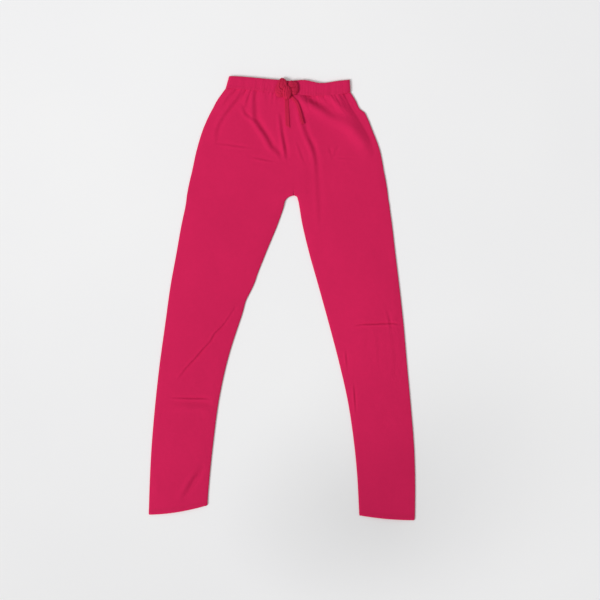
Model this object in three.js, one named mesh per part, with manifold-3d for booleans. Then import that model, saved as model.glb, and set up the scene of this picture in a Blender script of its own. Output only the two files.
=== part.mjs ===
// Leggings laid flat on their back, front side up: two leg panels, each wrapped round its leg and closed by
// the inseam, a gathered elastic casing round the waist, and a drawstring tied in a small bow at the front.
//
// Millimetres. +X points to the wearer's left, +Y from the hems to the waist, +Z up. The origin is on the
// surface that the leggings lie on, below the middle of their outline. "Right" and "left" are the wearer's.

import * as THREE from 'three';
import Module from 'manifold-3d';

const { clamp, lerp, smoothstep } = THREE.MathUtils;

// ---------- cloth ----------
const JERSEY = 1.2;            // wall of one knit layer
const CASING_WALL = 2.4;       // wall of one casing layer: cloth, elastic and cloth again
const WALL_MAX = 3;            // thickest wall, under the top of a high fold
const HOLLOW_MAX = 3.8;        // most air between the front and back layers
const HEIGHT_MIN = 2.9;        // both layers, in the bottom of a deep crease
const SEAM_GAP = 0.3;          // between pieces that are sewn to each other
const EDGE_HEIGHT = 3.4;       // laid height just inside a side fold
const ROUNDING = 1.8;          // a side fold rounds over within its wall and this much more
const FOLD_INSET = JERSEY + ROUNDING;
const FOLD_CALM = 14;          // creases die out this near to a side fold

// ---------- leg panels ----------
// One row for each section across the hips, from the casing seam down to the crotch: [x, y] of the right side
// fold, the centre seam and the left side fold, the laid height in the middle, and the mesh rows down to the
// next section.
const HIP_SECTIONS = [
  { right: [-122, 455], seam: [15.5, 442], left: [149, 447], height: 6.4, rows: 2 },
  { right: [-141, 429], seam: [18, 420], left: [160.5, 429], height: 6.3, rows: 2 },
  { right: [-150.5, 411.5], seam: [19.2, 405], left: [169, 411.5], height: 6.2, rows: 1 },
  { right: [-158.5, 396.5], seam: [20.5, 390], left: [183, 396.5], height: 6, rows: 2 },
  { right: [-172.5, 364], seam: [22.5, 357.5], left: [197, 364], height: 5.7, rows: 3 },
  { right: [-185.5, 320.5], seam: [24.5, 314], left: [213, 320.5], height: 5.4, rows: 3 },
  { right: [-195, 277], seam: [25.5, 271], left: [221.5, 277], height: 5.2, rows: 2 },
  { right: [-202.5, 245], seam: [26.5, 240], left: [227.5, 245], height: 5.2, rows: 2 },
  { right: [-206.5, 223], seam: [26.5, 223], left: [230.5, 223], height: 5, rows: 1 },
];
// One row for each section across the legs, from just below the crotch to the hem: [x, y] of the right leg's
// side fold and inseam fold, the left leg's inseam fold and side fold, and the height and mesh rows as above.
// The last two rows are the top and the edge of the turned hem.
const legSection = (right, rightInseam, leftInseam, left, height, rows) =>
  ({ right, rightInseam, leftInseam, left, height, rows });
const LEG_SECTIONS = [
  legSection([-207.5, 214], [15, 219.5], [32, 220.5], [231.5, 214], 5, 1),
  legSection([-209, 203.5], [7.5, 212], [35, 213], [233.5, 203.5], 5, 1),
  legSection([-211.5, 190.5], [4, 198], [38, 198], [235, 190.5], 5, 1),
  legSection([-218.5, 158], [-8, 163], [44, 162], [239.5, 158], 5, 2),
  legSection([-230, 93], [-33.5, 101], [59, 99], [247, 93], 4.9, 2),
  legSection([-242, 27.5], [-59, 37], [77, 35], [255, 27.5], 4.8, 3),
  legSection([-254, -59], [-91, -49.5], [101, -51.5], [264.5, -59], 4.7, 3),
  legSection([-266, -146], [-118, -135], [123.5, -137], [272, -146], 4.5, 2),
  legSection([-275.5, -233], [-136.5, -220], [143, -223], [280, -233], 4.4, 2),
  legSection([-283, -320], [-148, -304], [156, -309], [287, -320], 4.3, 2),
  legSection([-287, -396], [-156, -378], [163.5, -385], [289.5, -396], 4.2, 2),
  legSection([-289, -458], [-161, -439.5], [167.5, -460.5], [289, -470.4], 4.2, 1),
  legSection([-289.5, -470], [-161, -451.5], [168, -472.5], [288.5, -482.4], 4.7, 1),
];
const HEM_BOW = { right: 3.5, left: 2 };      // how far the middle of a hem hangs below the line of its ends
const FRONT_COLUMNS = 21;
const BACK_COLUMNS = 7;

// ---------- creases and gathers of the front ----------
// Each is a soft ridge with a trough on its +X side. A path's points are [x, y, rise of the ridge], and width
// is from the steep flank to the ridge's top.
const FOLDS = [
  // gathers under the casing, from the right side fold to the left one
  { width: 4, path: [[-102, 452, 1.2], [-121, 431, 0.9], [-131, 418, 0.1]] },
  { width: 4.5, path: [
    [-81, 452, 1.4], [-111, 415, 1.5], [-128, 392, 1.1], [-140, 368, 0.8], [-144, 336, 0.1],
  ] },
  { width: 4, path: [[-69, 452, 0.9], [-76, 426, 1.1], [-81, 414, 0.1]] },
  { width: 3.5, path: [[-86, 418, 0.3], [-79, 400, 0.9], [-61, 386, 0.7]] },
  { width: 3.5, path: [[-37, 448, 0.7], [-35, 427, 0.1]] },
  { width: 3.5, path: [[51, 425, 0.7], [63, 401, 0.1]] },
  { width: 6, path: [[84, 441, 0.9], [108, 417, 1.1], [128, 400, 0.3]] },
  { width: 6, path: [[105, 441, 1], [130, 415, 1.2], [152, 392, 0.3]] },
  { width: 6, path: [[126, 444, 1], [149, 416, 1.2], [166, 388, 1], [184, 355, 0.1]] },
  // drag line from the casing to the crotch, right front
  { width: 5.5, path: [
    [-61, 452, 1.3], [-60, 416, 1.3], [-58, 389, 1.8], [-49, 373, 2.2], [-34, 351, 2.2], [-22, 329, 1.7],
    [0, 307, 0.3],
  ] },
  { width: 3.6, path: [[-4, 396, 0.6], [0, 361, 1.5], [7, 321, 1.9], [9, 306, 0.8]] },
  // long folds from the bow, down the left thigh and out to the left hip
  { width: 5, path: [
    [38, 410, 0.5], [43, 386, 1.3], [55, 351, 1.3], [65, 330, 2], [72, 305, 1.3], [76, 258, 0.5],
    [79, 208, 0.5], [82, 148, 0.1],
  ] },
  { width: 10, path: [
    [38, 446, 1.3], [59, 430, 2], [82, 418, 2.3], [108, 399, 2.2], [136, 386, 1.3], [163, 364, 1],
    [184, 338, 0.9], [197, 306, 0.2],
  ] },
  { width: 17, path: [[124, 433, 1.4], [147, 406, 2.8], [168, 381, 2.9], [188, 353, 2.2], [200, 332, 0.6]] },
  // slanting creases of the right shin
  { width: 5, path: [[-102, -20, 0.3], [-161, -96, 0.8], [-218, -167, 0.3]] },
  { width: 6, path: [[-177, -369, 0.5], [-194, -395, 1.4], [-216, -429, 0.6]] },
];

// ---------- waist casing ----------
// The casing's top edge and the seam below it, from the right side fold to the left one: [x, y of the edge,
// y of the seam].
const CASING_EDGES = [
  [-122, 482.5, 456],
  [-94, 481.5, 453.5],
  [-63, 479, 451],
  [-20, 475, 446],
  [15, 472, 442.5],
  [50, 473.5, 440],
  [85, 467, 439],
  [120, 471.5, 441.5],
  [149, 474.5, 447.5],
];
const CASING_TOP_ENDS = [-114.5, 147.5];      // x of its side folds at the top edge
const CASING_SEAM_ENDS = [-122, 149];         // and at the seam
const CASING_HEIGHT = 6.3;
const CASING_EDGE_HEIGHT = 5.6;                // at its side folds
const CASING_INSET = CASING_WALL + ROUNDING;
const CASING_FRONT_COLUMNS = 44;
const CASING_BACK_COLUMNS = 14;
const PUCKERS = [{ pitch: 23, depth: 0.35, phase: 0.6 }, { pitch: 14.3, depth: 0.2, phase: 2.1 }];

// ---------- bow ----------
const BOW_SEAT = 6.95;                        // height of the bow's underside, on the casing
const KNOT = { x: 11.5, y: 445.5, width: 20, length: 30, height: 9.5 };
const LOOP_HEIGHT = 6.4;
// Outlines of the loops, which lie pressed flat on both sides of the knot.
const RIGHT_LOOP = [
  [9, 441], [1, 436.5], [-7, 435.5], [-12.5, 440.5], [-14.3, 449], [-11, 461], [-6.5, 472], [-0.5, 478],
  [6.5, 475.5], [11.5, 468.5], [11.8, 455],
];
const LEFT_LOOP = [
  [15, 455], [15, 468], [19, 471.5], [27, 470.5], [33.5, 466.5], [36, 457.5], [35, 447.5], [30, 441.5],
  [22, 441],
];
// The free ends: the right one lies flat, and the left one is folded lengthwise.
const RIGHT_TAIL_SECTION = { width: 9, height: 2 };
const RIGHT_TAIL = [
  [10.3, 437, 8.2], [10.6, 431, 7.9], [10.9, 423, 7.7], [11, 415, 7.6], [11.2, 407, 7.5], [11.4, 399, 7.4],
  [11.8, 391, 7.3], [12.2, 381, 7.2], [12.6, 372, 7.1],
];
const LEFT_TAIL_SECTION = { width: 6, height: 3 };
const LEFT_TAIL = [
  [19, 437.5, 8.6], [24.5, 433, 8.9], [30, 427, 9.2], [34, 420, 9.2], [36.6, 413, 8.8], [39, 405, 8.5],
  [41.2, 397, 8.5], [43.4, 388, 8.6], [45.6, 378, 8.7],
];

// ---------- materials ----------
const cloth = (color, roughness = 0.9) => new THREE.MeshStandardMaterial({ color, roughness, metalness: 0 });
const jersey = cloth(0xcc2255);
const casingJersey = cloth(0xc82052, 0.88);
const bowJersey = cloth(0xbb2244, 0.88);

// ---------- curves ----------
const curveThrough = (points) =>
  new THREE.CatmullRomCurve3(points.map(([x, y, z = 0]) => new THREE.Vector3(x, y, z)), false, 'centripetal');

const SECTIONS = [...HIP_SECTIONS, ...LEG_SECTIONS];
const CROTCH = HIP_SECTIONS.length - 1;       // section where the centre seam ends and the inseams begin
const HEM = SECTIONS.length - 1;
const centreSeam = curveThrough(HIP_SECTIONS.map((row) => row.seam));
const sideFold = {
  right: curveThrough(SECTIONS.map((row) => row.right)),
  left: curveThrough(SECTIONS.map((row) => row.left)),
};
const crotchPoint = HIP_SECTIONS[CROTCH].seam;
const inseam = {
  right: curveThrough([crotchPoint, ...LEG_SECTIONS.map((row) => row.rightInseam)]),
  left: curveThrough([crotchPoint, ...LEG_SECTIONS.map((row) => row.leftInseam)]),
};

/** The inner edge of a leg panel at section k: the centre seam down to the crotch, then the inseam. */
function innerEdge(side, k) {
  if (k <= CROTCH) return centreSeam.getPoint(k / CROTCH);
  return inseam[side].getPoint((k - CROTCH) / (HEM - CROTCH));
}

const outerEdge = (side, k) => sideFold[side].getPoint(k / HEM);

/** The laid height between the side folds at section k. */
function sectionHeight(k) {
  const row = Math.min(Math.floor(k), HEM - 1);
  return lerp(SECTIONS[row].height, SECTIONS[row + 1].height, k - row);
}

/** A smooth y(x) through a table's rows, with x in column 0 and y in the given column. */
function smoothY(table, column, x) {
  const slope = (i) => {
    const before = table[Math.max(i - 1, 0)];
    const after = table[Math.min(i + 1, table.length - 1)];
    return (after[column] - before[column]) / (after[0] - before[0]);
  };
  let i = 0;
  while (i < table.length - 2 && x > table[i + 1][0]) i += 1;
  const span = table[i + 1][0] - table[i][0];
  const t = clamp((x - table[i][0]) / span, 0, 1);
  const start = table[i][column];
  const rise = table[i + 1][column] - start;
  const ease = t * t * (3 - 2 * t);
  const bend = t * (1 - t) * ((1 - t) * slope(i) - t * slope(i + 1)) * span;
  return start + rise * ease + bend;
}

const casingEdgeY = (x) => smoothY(CASING_EDGES, 1, x);
const casingSeamY = (x) => smoothY(CASING_EDGES, 2, x);

// ---------- creases ----------
const FOLD_STEPS = 4;          // straight pieces between two points of a fold's path
const foldLines = FOLDS.map(({ width, path }) => ({
  width,
  points: curveThrough(path).getPoints(FOLD_STEPS * (path.length - 1)),
}));

/** What one fold adds to the height of the front at (x, y). */
function foldRise({ width, points }, x, y) {
  let nearest = Infinity;
  let across = 0;
  let beyond = 0;
  let rise = 0;
  for (let i = 0; i + 1 < points.length; i += 1) {
    const a = points[i];
    const length = Math.hypot(points[i + 1].x - a.x, points[i + 1].y - a.y);
    const tx = (points[i + 1].x - a.x) / length;
    const ty = (points[i + 1].y - a.y) / length;
    const along = (x - a.x) * tx + (y - a.y) * ty;
    const past = along - clamp(along, 0, length);
    const aside = (y - a.y) * tx - (x - a.x) * ty;
    const distance = Math.hypot(aside, past);
    if (distance < nearest) {
      nearest = distance;
      across = aside / width;
      beyond = past / width;
      rise = lerp(a.z, points[i + 1].z, clamp(along / length, 0, 1));
    }
  }
  return -rise * across * Math.exp(0.5 - 0.5 * across * across - 0.5 * beyond * beyond);
}

const foldsAt = (x, y) => foldLines.reduce((sum, fold) => sum + foldRise(fold, x, y), 0);

// ---------- laid tubes ----------
/** A closed geometry from points and outward quads or triangles, turned right side out. */
function solidFrom(points, faces) {
  const index = [];
  for (const face of faces) {
    for (let i = 2; i < face.length; i += 1) index.push(face[0], face[i - 1], face[i]);
  }
  let volume = 0;
  const cross = new THREE.Vector3();
  for (let i = 0; i < index.length; i += 3) {
    cross.crossVectors(points[index[i + 1]], points[index[i + 2]]);
    volume += points[index[i]].dot(cross);
  }
  if (volume < 0) index.reverse();
  const geometry = new THREE.BufferGeometry().setFromPoints(points);
  geometry.setIndex(index);
  geometry.computeVertexNormals();
  return geometry;
}

// Points round a side fold: share of the laid height, and how far they are set in from its crown.
const FOLD_ROUND = [{ share: 0.82, inset: 0.9 }, { share: 0.48, inset: 0 }, { share: 0.14, inset: 0.9 }];
const SEAM_ROUND = { top: { share: 0.74, inset: 0.6 }, bottom: { share: 0.2, inset: 0.6 } };

/**
 * One section of a laid tube, as the outer and inner points of its wall in the same order: from the inner
 * edge along the front, round the side fold and back along the underside. An open section ends square.
 */
function sectionRing(tube, k) {
  const { wall, columnAt } = tube;
  const { outer, inner } = tube.edgesAt(k);
  const outside = [];
  const inside = [];
  const addPair = (edge, insetOut, zOut, insetIn, zIn) => {
    outside.push(new THREE.Vector3(edge.x + edge.inX * insetOut, edge.y + edge.inY * insetOut, zOut));
    inside.push(new THREE.Vector3(edge.x + edge.inX * insetIn, edge.y + edge.inY * insetIn, zIn));
  };
  const addRound = (edge, height, { share, inset }) =>
    addPair(edge, inset, share * height, wall + inset, lerp(wall, height - wall, share));
  const underTop = (height) => height - clamp(height - wall - HOLLOW_MAX, wall, WALL_MAX);
  const atInner = columnAt(k, 0).z;
  const atOuter = columnAt(k, 1).z;

  if (tube.isOpen(k)) addPair(inner, 0, atInner, 0, underTop(atInner));
  else addRound(inner, atInner, SEAM_ROUND.top);
  for (let i = 0; i < tube.frontColumns; i += 1) {
    const top = columnAt(k, i / (tube.frontColumns - 1));
    outside.push(top);
    inside.push(new THREE.Vector3(top.x, top.y, underTop(top.z)));
  }
  for (const point of FOLD_ROUND) addRound(outer, atOuter, point);
  for (let i = tube.backColumns - 1; i >= 0; i -= 1) {
    const { x, y } = columnAt(k, i / (tube.backColumns - 1));
    outside.push(new THREE.Vector3(x, y, 0));
    inside.push(new THREE.Vector3(x, y, wall));
  }
  if (tube.isOpen(k)) addPair(inner, 0, 0, 0, wall);
  else addRound(inner, atInner, SEAM_ROUND.bottom);
  return { outside, inside };
}

/** A tube of cloth lying flat: open sections first, then closed ones, with square rims at both ends. */
function laidTube(tube) {
  const rings = tube.stations.map((k) => sectionRing(tube, k));
  const around = rings[0].outside.length;
  const last = rings.length - 1;
  const firstClosed = tube.stations.findIndex((k) => !tube.isOpen(k));
  const points = rings.flatMap(({ outside, inside }) => [...outside, ...inside]);
  const outer = (i, j) => 2 * around * i + (j % around);
  const inner = (i, j) => outer(i, j) + around;
  const faces = [];
  for (let i = 0; i < last; i += 1) {
    const columns = i >= firstClosed ? around : around - 1;
    for (let j = 0; j < columns; j += 1) {
      faces.push([outer(i, j), outer(i, j + 1), outer(i + 1, j + 1), outer(i + 1, j)]);
      faces.push([inner(i, j), inner(i + 1, j), inner(i + 1, j + 1), inner(i, j + 1)]);
    }
  }
  const topColumns = firstClosed === 0 ? around : around - 1;
  for (let j = 0; j < topColumns; j += 1) {
    faces.push([outer(0, j + 1), outer(0, j), inner(0, j), inner(0, j + 1)]);
  }
  for (let j = 0; j < around; j += 1) {
    faces.push([outer(last, j), outer(last, j + 1), inner(last, j + 1), inner(last, j)]);
  }
  const end = around - 1;
  for (let i = 0; i < firstClosed; i += 1) {
    faces.push([outer(i, 0), outer(i + 1, 0), inner(i + 1, 0), inner(i, 0)]);
    faces.push([outer(i + 1, end), outer(i, end), inner(i, end), inner(i + 1, end)]);
  }
  if (firstClosed > 0) {
    const crotch = firstClosed;
    faces.push([outer(crotch, 0), outer(crotch, end), inner(crotch, end), inner(crotch, 0)]);
  }
  return solidFrom(points, faces);
}

// ---------- leg panels ----------
const WAIST_EASE = 3;          // sections over which the rows straighten from the casing seam's curve
const HEM_EASE = 2.5;          // sections over which they take up the hem's bow
const EDGE_STEP = 0.2;         // part of a section used to find an edge's direction
const CLOSING = { from: CROTCH - 1.5, to: CROTCH + 2 };   // where its dome turns into a closed leg's
const DOME_SQUARENESS = { open: 0.6, closed: 0.7 };

/** Section numbers of all mesh rows of a leg panel. */
function legStations() {
  const stations = [];
  for (let k = 0; k < HEM; k += 1) {
    const { rows } = SECTIONS[k];
    for (let i = 0; i < rows; i += 1) stations.push(k + i / rows);
  }
  return [...stations, HEM];
}

/** A panel edge at section k with the direction into the cloth; turn is +1 or -1, from down to inward. */
function edgeAt(edge, k, turn) {
  const before = edge(Math.max(k - EDGE_STEP, 0));
  const after = edge(Math.min(k + EDGE_STEP, HEM));
  const length = Math.hypot(after.x - before.x, after.y - before.y);
  const { x, y } = edge(k);
  return { x, y, inX: (-turn * (after.y - before.y)) / length, inY: (turn * (after.x - before.x)) / length };
}

/** Moves a point of the row at section k so that the top row follows the casing seam. */
function settleAtWaist(pointAt, k) {
  const point = pointAt(k);
  const ease = Math.max(0, 1 - k / WAIST_EASE) ** 2;
  if (ease > 0) {
    const top = pointAt(0);
    point.y += ease * (casingSeamY(top.x) - SEAM_GAP - top.y);
  }
  return point;
}

function legPanel(side) {
  const turn = side === 'right' ? 1 : -1;
  const outerAt = (k) => edgeAt((s) => outerEdge(side, s), k, turn);
  const innerAt = (k) => {
    const edge = edgeAt((s) => innerEdge(side, s), k, -turn);
    edge.x -= (turn * SEAM_GAP) / 2;
    return edge;
  };

  /** The front of the panel at section k, a share q of the way from its inner edge to its side fold. */
  function columnAt(k, q) {
    const point = settleAtWaist((s) => {
      const outer = outerAt(s);
      const inner = innerAt(s);
      const x = lerp(inner.x + inner.inX * FOLD_INSET, outer.x + outer.inX * FOLD_INSET, q);
      const y = lerp(inner.y + inner.inY * FOLD_INSET, outer.y + outer.inY * FOLD_INSET, q);
      const bow = 4 * q * (1 - q) * HEM_BOW[side] * smoothstep(s, HEM - HEM_EASE, HEM);
      return new THREE.Vector3(x, y - bow, 0);
    }, k);
    const closing = smoothstep(k, CLOSING.from, CLOSING.to);
    const openDome = Math.cos((Math.PI / 2) * q) ** DOME_SQUARENESS.open;
    const closedDome = Math.max(Math.sin(Math.PI * q), 0) ** DOME_SQUARENESS.closed;
    const dome = lerp(openDome, closedDome, closing);
    const width = Math.abs(outerAt(k).x - innerAt(k).x);
    const fromSide = (1 - q) * width;
    const fromInseam = q * width + FOLD_CALM * (1 - closing);
    const calm = smoothstep(fromSide, 0, FOLD_CALM) * smoothstep(fromInseam, 0, FOLD_CALM);
    const height = lerp(EDGE_HEIGHT, sectionHeight(k), dome) + calm * foldsAt(point.x, point.y);
    point.z = clamp(height, HEIGHT_MIN, JERSEY + HOLLOW_MAX + WALL_MAX);
    return point;
  }

  return laidTube({
    stations: legStations(),
    isOpen: (k) => k < CROTCH,
    wall: JERSEY,
    frontColumns: FRONT_COLUMNS,
    backColumns: BACK_COLUMNS,
    edgesAt: (k) => ({ outer: settleAtWaist(outerAt, k), inner: settleAtWaist(innerAt, k) }),
    columnAt,
  });
}

// ---------- waist casing ----------
const CASING_ROWS = [0, 0.12, 0.5, 0.88, 1];   // shares of the way from the top edge to the seam
const CASING_SQUARENESS = 0.25;
const CASING_ROLL = { drop: 0.4, share: 0.3 };  // how much lower its front lies at the top edge

function waistCasing() {
  const endAt = (k, end, turn) => {
    const topX = CASING_TOP_ENDS[end];
    const seamX = CASING_SEAM_ENDS[end];
    return { x: lerp(topX, seamX, k), y: lerp(casingEdgeY(topX), casingSeamY(seamX), k), inX: turn, inY: 0 };
  };

  /** The front of the casing, a share k down from its top edge and q of the way from left to right. */
  function columnAt(k, q) {
    const xAt = (ends) => lerp(ends[1] - CASING_INSET, ends[0] + CASING_INSET, q);
    const topX = xAt(CASING_TOP_ENDS);
    const seamX = xAt(CASING_SEAM_ENDS);
    const x = lerp(topX, seamX, k);
    const y = lerp(casingEdgeY(topX), casingSeamY(seamX), k);
    const fromEnd = Math.min(q, 1 - q) * (CASING_SEAM_ENDS[1] - CASING_SEAM_ENDS[0]);
    const calm = smoothstep(fromEnd, 0, FOLD_CALM);
    const puckers = PUCKERS.reduce((sum, { pitch, depth, phase }) =>
      sum + depth * Math.sin((2 * Math.PI * x) / pitch + phase), 0);
    const dome = Math.max(Math.sin(Math.PI * q), 0) ** CASING_SQUARENESS;
    const roll = CASING_ROLL.drop * (1 - smoothstep(k, 0, CASING_ROLL.share));
    return new THREE.Vector3(x, y, lerp(CASING_EDGE_HEIGHT, CASING_HEIGHT, dome) - roll + calm * puckers);
  }

  return laidTube({
    stations: CASING_ROWS,
    isOpen: () => false,
    wall: CASING_WALL,
    frontColumns: CASING_FRONT_COLUMNS,
    backColumns: CASING_BACK_COLUMNS,
    edgesAt: (k) => ({ outer: endAt(k, 0, 1), inner: endAt(k, 1, -1) }),
    columnAt,
  });
}

// ---------- bow ----------
const wasm = await Module();
wasm.setup();

function toManifold(geometry) {
  return new wasm.Manifold(new wasm.Mesh({
    numProp: 3,
    vertProperties: new Float32Array(geometry.attributes.position.array),
    triVerts: new Uint32Array(geometry.index.array),
  }));
}

function fromManifold(manifold) {
  const { vertProperties, triVerts } = manifold.getMesh();
  const geometry = new THREE.BufferGeometry();
  geometry.setAttribute('position', new THREE.BufferAttribute(new Float32Array(vertProperties), 3));
  geometry.setIndex([...triVerts]);
  geometry.computeVertexNormals();
  return geometry;
}

const STRAP_SIDES = 8;
const STRAP_SQUARENESS = 0.7;  // below 1, its section is squarer than an ellipse

/** A flat fabric strap swept along a route of points, with square ends. */
function strap(points, { width, height }) {
  const up = new THREE.Vector3(0, 0, 1);
  const rings = points.flatMap((point, i) => {
    const ahead = points[Math.min(i + 1, points.length - 1)];
    const behind = points[Math.max(i - 1, 0)];
    const along = new THREE.Vector3().subVectors(ahead, behind).normalize();
    const aside = new THREE.Vector3().crossVectors(up, along).normalize();
    const over = new THREE.Vector3().crossVectors(along, aside);
    return Array.from({ length: STRAP_SIDES }, (_, j) => {
      const angle = (2 * Math.PI * (j + 0.5)) / STRAP_SIDES;
      const flat = (value) => Math.sign(value) * Math.abs(value) ** STRAP_SQUARENESS;
      return point.clone()
        .addScaledVector(aside, (flat(Math.cos(angle)) * width) / 2)
        .addScaledVector(over, (flat(Math.sin(angle)) * height) / 2);
    });
  });
  const faces = [];
  for (let i = 0; i + 1 < points.length; i += 1) {
    for (let j = 0; j < STRAP_SIDES; j += 1) {
      const next = (j + 1) % STRAP_SIDES;
      const row = i * STRAP_SIDES;
      faces.push([row + j, row + next, row + STRAP_SIDES + next, row + STRAP_SIDES + j]);
    }
  }
  const side = Array.from({ length: STRAP_SIDES }, (_, j) => j);
  faces.push([...side].reverse());
  faces.push(side.map((j) => j + (points.length - 1) * STRAP_SIDES));
  return solidFrom(rings, faces);
}

const PAD_ROWS = 8;
const PAD_FLAT = 0.72;         // depth of its flat underside below its middle, as a share of its upper half
const PAD_END = 0.3;           // cosine at which its rows stop narrowing
const PAD_SQUARENESS = 0.6;    // below 1, its sides are fuller than an ellipsoid's

/** A pad on the bow's seat inside a closed outline, with a flat underside and a rounded top. */
function pad(outline, height) {
  const upper = height / (1 + PAD_FLAT);
  const middle = new THREE.Vector3();
  for (const point of outline) middle.addScaledVector(point, 1 / outline.length);
  middle.z = BOW_SEAT + PAD_FLAT * upper;
  const points = [];
  const faces = [];
  for (let i = 0; i <= PAD_ROWS; i += 1) {
    const tilt = Math.PI * (i / PAD_ROWS - 0.5);
    const swell = Math.max(Math.cos(tilt), PAD_END) ** PAD_SQUARENESS;
    const rise = Math.max(Math.sin(tilt), -PAD_FLAT) * upper;
    outline.forEach((point, j) => {
      const x = lerp(middle.x, point.x, swell);
      const y = lerp(middle.y, point.y, swell);
      points.push(new THREE.Vector3(x, y, middle.z + rise));
      const row = i * outline.length;
      const above = row + outline.length;
      const next = (j + 1) % outline.length;
      if (i < PAD_ROWS) faces.push([row + j, row + next, above + next, above + j]);
    });
  }
  const round = outline.map((_, j) => j);
  faces.push([...round].reverse());
  faces.push(round.map((j) => j + PAD_ROWS * outline.length));
  return solidFrom(points, faces);
}

const KNOT_SIDES = 16;

/** The knot, made larger round its outline by the clearance. */
function knotGeometry(clearance = 0) {
  const outline = Array.from({ length: KNOT_SIDES }, (_, j) => {
    const angle = (2 * Math.PI * j) / KNOT_SIDES;
    const x = KNOT.x + Math.cos(angle) * (KNOT.width / 2 + clearance);
    const y = KNOT.y + Math.sin(angle) * (KNOT.length / 2 + clearance);
    return new THREE.Vector3(x, y, 0);
  });
  return pad(outline, KNOT.height);
}

const KNOT_CLEARANCE = 0.4;
const knotSpace = toManifold(knotGeometry(KNOT_CLEARANCE));
const outOfKnot = (geometry) => fromManifold(toManifold(geometry).subtract(knotSpace));

const LOOP_STEPS = 26;

function bowLoop(outline) {
  const points = outline.map(([x, y]) => new THREE.Vector3(x, y, 0));
  const closed = new THREE.CatmullRomCurve3(points, true, 'centripetal').getPoints(LOOP_STEPS).slice(0, -1);
  return outOfKnot(pad(closed, LOOP_HEIGHT));
}

const bowTail = (route, section) =>
  outOfKnot(strap(route.map((point) => new THREE.Vector3(...point)), section));

// ---------- the garment ----------
const leggings = new THREE.Group();

function addPiece(name, geometry, material) {
  const piece = new THREE.Mesh(geometry, material);
  piece.name = name;
  leggings.add(piece);
}

addPiece('leg_panel_right', legPanel('right'), jersey);
addPiece('leg_panel_left', legPanel('left'), jersey);
addPiece('waistband', waistCasing(), casingJersey);
addPiece('bow_knot', knotGeometry(), bowJersey);
addPiece('bow_loop_right', bowLoop(RIGHT_LOOP), bowJersey);
addPiece('bow_loop_left', bowLoop(LEFT_LOOP), bowJersey);
addPiece('bow_tail_right', bowTail(RIGHT_TAIL, RIGHT_TAIL_SECTION), bowJersey);
addPiece('bow_tail_left', bowTail(LEFT_TAIL, LEFT_TAIL_SECTION), bowJersey);

export default leggings;
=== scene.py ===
"""Looks of the laid-flat leggings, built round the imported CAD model.

Knit shells with their creases, casing, hems, stitching and drawstring. Shapes are worked out in millimetres
in the CAD frame and handed to Blender in metres. +X is the wearer's left, +Y the waist, +Z up, and "right"
and "left" are the wearer's.
"""

import math

import bpy
import numpy as np
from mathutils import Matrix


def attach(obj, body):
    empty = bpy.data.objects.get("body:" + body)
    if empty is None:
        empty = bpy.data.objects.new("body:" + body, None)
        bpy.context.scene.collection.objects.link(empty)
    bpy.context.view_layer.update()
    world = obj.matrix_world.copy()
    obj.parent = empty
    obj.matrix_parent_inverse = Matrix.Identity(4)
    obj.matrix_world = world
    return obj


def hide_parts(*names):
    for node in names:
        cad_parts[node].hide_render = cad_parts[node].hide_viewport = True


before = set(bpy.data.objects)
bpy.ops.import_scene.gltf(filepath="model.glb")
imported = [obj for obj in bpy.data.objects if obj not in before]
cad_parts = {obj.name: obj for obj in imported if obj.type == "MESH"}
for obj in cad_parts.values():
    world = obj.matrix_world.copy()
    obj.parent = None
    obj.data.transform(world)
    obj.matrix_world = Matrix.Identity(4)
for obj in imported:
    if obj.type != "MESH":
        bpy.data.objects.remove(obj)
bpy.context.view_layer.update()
MM = 0.001


# --- numbers ---
NOISE_CELLS = 64
NOISE_OFFSET = 1000  # cells that keep every cell number positive


def lerp(a, b, t):
    return a + (b - a) * t


def smoothstep(x, low, high):
    t = np.clip((np.asarray(x, float) - low) / (high - low), 0, 1)
    return t * t * (3 - 2 * t)


def unit(v):
    return v / np.maximum(np.linalg.norm(v, axis=-1, keepdims=True), 1e-9)


def circle(count):
    """Directions [x, y] evenly all round."""
    angle = 2 * np.pi * np.arange(count) / count
    return np.stack([np.cos(angle), np.sin(angle)], 1)


def length_along(points):
    """The length from the first point to each point of a line."""
    return np.concatenate([[0], np.cumsum(np.linalg.norm(np.diff(points, axis=0), axis=1))])


class Curve:
    """A centripetal Catmull-Rom curve through its points, as the CAD source draws it."""

    def __init__(self, points):
        self.points = np.array(points, float)

    def at(self, share):
        p = self.points
        s = np.clip(np.asarray(share, float), 0, 1) * (len(p) - 1)
        i = np.minimum(s.astype(int), len(p) - 2)
        t = (s - i)[..., None]
        ends = np.vstack([2 * p[0] - p[1], p, 2 * p[-1] - p[-2]])
        a, b, c, d = (ends[i + n] for n in range(4))
        gap = [(np.sum((v - u) ** 2, -1, keepdims=True)) ** 0.25 for u, v in ((a, b), (b, c), (c, d))]
        start = ((b - a) / gap[0] - (c - a) / (gap[0] + gap[1]) + (c - b) / gap[1]) * gap[1]
        end = ((c - b) / gap[1] - (d - b) / (gap[1] + gap[2]) + (d - c) / gap[2]) * gap[1]
        return b + start * t + (3 * (c - b) - 2 * start - end) * t**2 + (2 * (b - c) + start + end) * t**3


def noise(x, y, size, seed):
    """Smooth bumps between -1 and 1 about `size` across, the same on every run."""
    table = np.random.RandomState(seed).uniform(-1, 1, (NOISE_CELLS, NOISE_CELLS))
    u, v = np.asarray(x, float) / size + NOISE_OFFSET, np.asarray(y, float) / size + NOISE_OFFSET
    i, j = np.floor(u).astype(int), np.floor(v).astype(int)
    s, t = smoothstep(u - i, 0, 1), smoothstep(v - j, 0, 1)

    def corner(right, up):
        return table[(i + right) % NOISE_CELLS, (j + up) % NOISE_CELLS]

    return lerp(lerp(corner(0, 0), corner(1, 0), s), lerp(corner(0, 1), corner(1, 1), s), t)


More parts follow.
